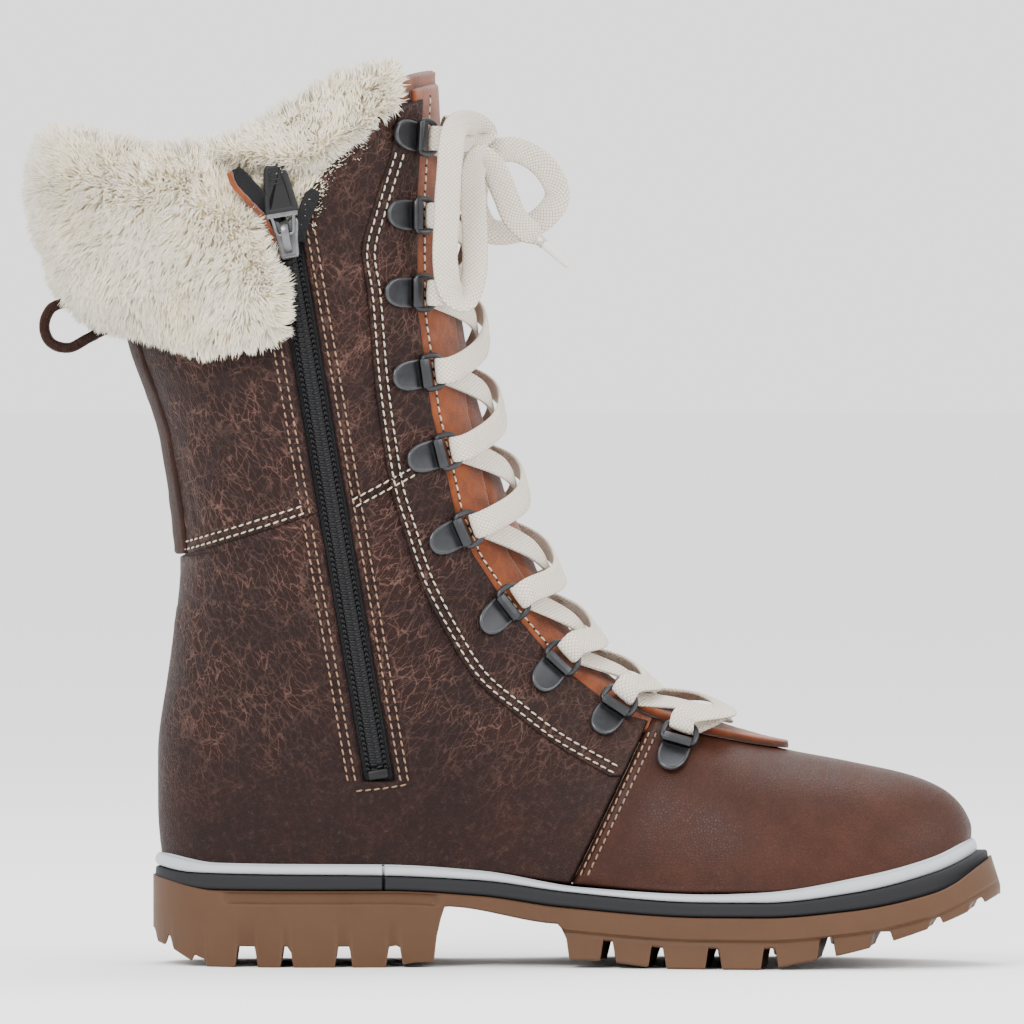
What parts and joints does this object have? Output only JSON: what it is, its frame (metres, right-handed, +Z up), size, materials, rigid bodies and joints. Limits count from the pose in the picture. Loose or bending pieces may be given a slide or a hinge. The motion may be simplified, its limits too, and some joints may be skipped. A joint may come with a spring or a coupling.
{
  "type": "insulated winter boot",
  "caption": "Tall left winter boot in brown leather with lace-up front, inner side zip, folded shearling cuff and lugged gum sole.",
  "frame": {"origin": "ground point under the middle of the heel, on the heel lugs", "axes": "+X towards the toe, +Z up, -Y the inner (medial) side with the zip"},
  "size_m": [0.3227, 0.1246, 0.3051],
  "materials": {
    "brown_leather": "waxed, creased pull-up leather",
    "tan_suede": "napped suede",
    "shearling": "long-pile wool shearling",
    "gum_rubber": "translucent gum rubber",
    "black_rubber": "matt",
    "grey_rubber": "satin",
    "black_nylon": "woven tape and coil",
    "gunmetal": "dark oxidised, worn at the edges",
    "cotton_lace": "flat braided cotton",
    "fibre_board": "pressed cellulose board"
  },
  "bodies": {
    "boot": {"quarter_medial": "brown_leather", "quarter_lateral": "brown_leather", "backstay": "brown_leather", "vamp": "brown_leather", "pull_loop": "brown_leather", "tongue": "tan_suede", "tongue_tip": "tan_suede", "lining": "shearling", "cuff": "shearling", "footbed": "shearling", "heel_counter": "fibre_board", "insole_board": "fibre_board", "outsole": "gum_rubber", "midsole": "black_rubber", "rand": "grey_rubber", "zip_tape": "black_nylon", "zip_chain": "black_nylon", "lace": "cotton_lace", "plate_medial_01": "gunmetal", "plate_medial_02": "gunmetal", "plate_medial_03": "gunmetal", "plate_medial_04": "gunmetal", "plate_medial_05": "gunmetal", "plate_medial_06": "gunmetal", "plate_medial_07": "gunmetal", "plate_medial_08": "gunmetal", "plate_medial_09": "gunmetal", "plate_medial_10": "gunmetal", "plate_lateral_01": "gunmetal", "plate_lateral_02": "gunmetal", "plate_lateral_03": "gunmetal", "plate_lateral_04": "gunmetal", "plate_lateral_05": "gunmetal", "plate_lateral_06": "gunmetal", "plate_lateral_07": "gunmetal", "plate_lateral_08": "gunmetal", "plate_lateral_09": "gunmetal", "plate_lateral_10": "gunmetal"},
    "slider": {"zip_slider": "gunmetal"},
    "puller": {"zip_puller": "black_rubber"},
    "lace_ring_medial_01": {"ring_medial_01": "gunmetal"},
    "lace_ring_medial_02": {"ring_medial_02": "gunmetal"},
    "lace_ring_medial_03": {"ring_medial_03": "gunmetal"},
    "lace_ring_medial_04": {"ring_medial_04": "gunmetal"},
    "lace_ring_medial_05": {"ring_medial_05": "gunmetal"},
    "lace_ring_medial_06": {"ring_medial_06": "gunmetal"},
    "lace_ring_medial_07": {"ring_medial_07": "gunmetal"},
    "lace_ring_medial_08": {"ring_medial_08": "gunmetal"},
    "lace_ring_medial_09": {"ring_medial_09": "gunmetal"},
    "lace_ring_medial_10": {"ring_medial_10": "gunmetal"},
    "lace_ring_lateral_01": {"ring_lateral_01": "gunmetal"},
    "lace_ring_lateral_02": {"ring_lateral_02": "gunmetal"},
    "lace_ring_lateral_03": {"ring_lateral_03": "gunmetal"},
    "lace_ring_lateral_04": {"ring_lateral_04": "gunmetal"},
    "lace_ring_lateral_05": {"ring_lateral_05": "gunmetal"},
    "lace_ring_lateral_06": {"ring_lateral_06": "gunmetal"},
    "lace_ring_lateral_07": {"ring_lateral_07": "gunmetal"},
    "lace_ring_lateral_08": {"ring_lateral_08": "gunmetal"},
    "lace_ring_lateral_09": {"ring_lateral_09": "gunmetal"},
    "lace_ring_lateral_10": {"ring_lateral_10": "gunmetal"}
  },
  "joints": [
    {"name": "zip_slide", "type": "slide", "parent": "boot", "child": "slider", "axis": [0.1657, 0.0808, -0.9829], "range_m": [0, 0.173]},
    {"name": "puller_hinge", "type": "hinge", "parent": "slider", "child": "puller", "pos_m": [-0.00298, -0.05155, 0.24645], "axis": [0.9858, -0.0412, 0.1628], "range_deg": [0, 168]},
    {"name": "ring_hinge_medial_01", "type": "hinge", "parent": "boot", "child": "lace_ring_medial_01", "pos_m": [0.0423, -0.03039, 0.2781], "axis": [-0.0539, -0.1396, -0.9887], "range_deg": [-8, 100], "deforming": ["lace"]},
    {"name": "ring_hinge_medial_02", "type": "hinge", "parent": "boot", "child": "lace_ring_medial_02", "pos_m": [0.04091, -0.0343, 0.25187], "axis": [0.001, -0.0855, -0.9963], "range_deg": [-8, 100], "deforming": ["lace"]},
    {"name": "ring_hinge_medial_03", "type": "hinge", "parent": "boot", "child": "lace_ring_medial_03", "pos_m": [0.04083, -0.03621, 0.22591], "axis": [0.0037, -0.0495, -0.9988], "range_deg": [-8, 100], "deforming": ["lace"]},
    {"name": "ring_hinge_medial_04", "type": "hinge", "parent": "boot", "child": "lace_ring_medial_04", "pos_m": [0.04364, -0.03526, 0.199], "axis": [0.1397, 0.0565, -0.9886], "range_deg": [-8, 100], "deforming": ["lace"]},
    {"name": "ring_hinge_medial_05", "type": "hinge", "parent": "boot", "child": "lace_ring_medial_05", "pos_m": [0.04864, -0.03359, 0.17217], "axis": [0.2392, 0.0776, -0.9679], "range_deg": [-8, 100], "deforming": ["lace"]},
    {"name": "ring_hinge_medial_06", "type": "hinge", "parent": "boot", "child": "lace_ring_medial_06", "pos_m": [0.05582, -0.03173, 0.14572], "axis": [0.3876, 0.1263, -0.9131], "range_deg": [-8, 100], "deforming": ["lace"]},
    {"name": "ring_hinge_medial_07", "type": "hinge", "parent": "boot", "child": "lace_ring_medial_07", "pos_m": [0.07129, -0.02657, 0.12051], "axis": [0.6048, 0.1806, -0.7756], "range_deg": [-8, 100], "deforming": ["lace"]},
    {"name": "ring_hinge_medial_08", "type": "hinge", "parent": "boot", "child": "lace_ring_medial_08", "pos_m": [0.08813, -0.02342, 0.1016], "axis": [0.7312, 0.0651, -0.6791], "range_deg": [-8, 100], "deforming": ["lace"]},
    {"name": "ring_hinge_medial_09", "type": "hinge", "parent": "boot", "child": "lace_ring_medial_09", "pos_m": [0.10733, -0.02283, 0.08712], "axis": [0.8287, -0.0882, -0.5527], "range_deg": [-8, 100], "deforming": ["lace"]},
    {"name": "ring_hinge_medial_10", "type": "hinge", "parent": "boot", "child": "lace_ring_medial_10", "pos_m": [0.12807, -0.02715, 0.07596], "axis": [0.9543, -0.1376, -0.2652], "range_deg": [-8, 100], "deforming": ["lace"]},
    {"name": "ring_hinge_lateral_01", "type": "hinge", "parent": "boot", "child": "lace_ring_lateral_01", "pos_m": [0.0423, 0.03039, 0.2781], "axis": [0.0539, -0.1396, 0.9887], "range_deg": [-8, 100], "deforming": ["lace"]},
    {"name": "ring_hinge_lateral_02", "type": "hinge", "parent": "boot", "child": "lace_ring_lateral_02", "pos_m": [0.04091, 0.0343, 0.25187], "axis": [-0.001, -0.0855, 0.9963], "range_deg": [-8, 100], "deforming": ["lace"]},
    {"name": "ring_hinge_lateral_03", "type": "hinge", "parent": "boot", "child": "lace_ring_lateral_03", "pos_m": [0.04083, 0.03621, 0.22591], "axis": [-0.0037, -0.0495, 0.9988], "range_deg": [-8, 100], "deforming": ["lace"]},
    {"name": "ring_hinge_lateral_04", "type": "hinge", "parent": "boot", "child": "lace_ring_lateral_04", "pos_m": [0.04364, 0.03526, 0.199], "axis": [-0.1397, 0.0565, 0.9886], "range_deg": [-8, 100], "deforming": ["lace"]},
    {"name": "ring_hinge_lateral_05", "type": "hinge", "parent": "boot", "child": "lace_ring_lateral_05", "pos_m": [0.04864, 0.03359, 0.17217], "axis": [-0.2392, 0.0776, 0.9679], "range_deg": [-8, 100], "deforming": ["lace"]},
    {"name": "ring_hinge_lateral_06", "type": "hinge", "parent": "boot", "child": "lace_ring_lateral_06", "pos_m": [0.05582, 0.03173, 0.14572], "axis": [-0.3876, 0.1263, 0.9131], "range_deg": [-8, 100], "deforming": ["lace"]},
    {"name": "ring_hinge_lateral_07", "type": "hinge", "parent": "boot", "child": "lace_ring_lateral_07", "pos_m": [0.07129, 0.02657, 0.12051], "axis": [-0.6048, 0.1806, 0.7756], "range_deg": [-8, 100], "deforming": ["lace"]},
    {"name": "ring_hinge_lateral_08", "type": "hinge", "parent": "boot", "child": "lace_ring_lateral_08", "pos_m": [0.08819, 0.02327, 0.10158], "axis": [-0.728, 0.0888, 0.6798], "range_deg": [-8, 100], "deforming": ["lace"]},
    {"name": "ring_hinge_lateral_09", "type": "hinge", "parent": "boot", "child": "lace_ring_lateral_09", "pos_m": [0.10741, 0.02211, 0.08721], "axis": [-0.8292, -0.0847, 0.5524], "range_deg": [-8, 100], "deforming": ["lace"]},
    {"name": "ring_hinge_lateral_10", "type": "hinge", "parent": "boot", "child": "lace_ring_lateral_10", "pos_m": [0.12838, 0.02521, 0.07606], "axis": [-0.9613, -0.0052, 0.2756], "range_deg": [-8, 100], "deforming": ["lace"]}
  ]
}
